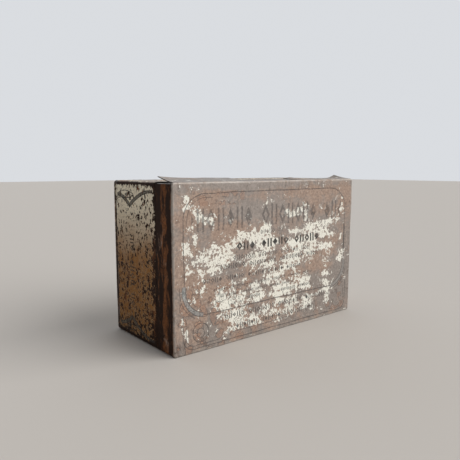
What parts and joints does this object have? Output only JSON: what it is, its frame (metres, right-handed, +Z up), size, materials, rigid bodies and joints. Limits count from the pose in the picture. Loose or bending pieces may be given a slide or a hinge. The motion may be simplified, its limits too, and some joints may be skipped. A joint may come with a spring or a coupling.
{
  "type": "hinged tin box",
  "caption": "Rectangular tinplate box with a flush rim lid on a wire hinge, standing on a long narrow side, its print worn down to rusty metal.",
  "frame": {"origin": "middle of the footprint, on the surface that the tin stands on", "axes": "+Z up, +X along the longest side, -Y out of the lid's broad face, +Y out of the base panel"},
  "size_m": [0.115, 0.051, 0.075],
  "materials": {
    "lid_print": "lithographed cream with grey print, mostly worn to brown and grey rusty tinplate",
    "case_print": "lithographed cream with grey print, speckled with dark rust, dark along the edges",
    "bare_tinplate": "dull grey tin with brown stains",
    "pin_wire": "dark rusted wire"
  },
  "bodies": {
    "case": {"case_wall": "case_print", "throat_collar": "bare_tinplate", "base_panel": "case_print", "hinge_strap": "bare_tinplate", "hinge_pin": "pin_wire"},
    "lid": {"lid_shell": "lid_print"}
  },
  "joints": [
    {"name": "lid_hinge", "type": "hinge", "parent": "case", "child": "lid", "pos_m": [0, -0.0101, 0.07145], "axis": [-1, 0, 0], "range_deg": [0, 105]}
  ]
}
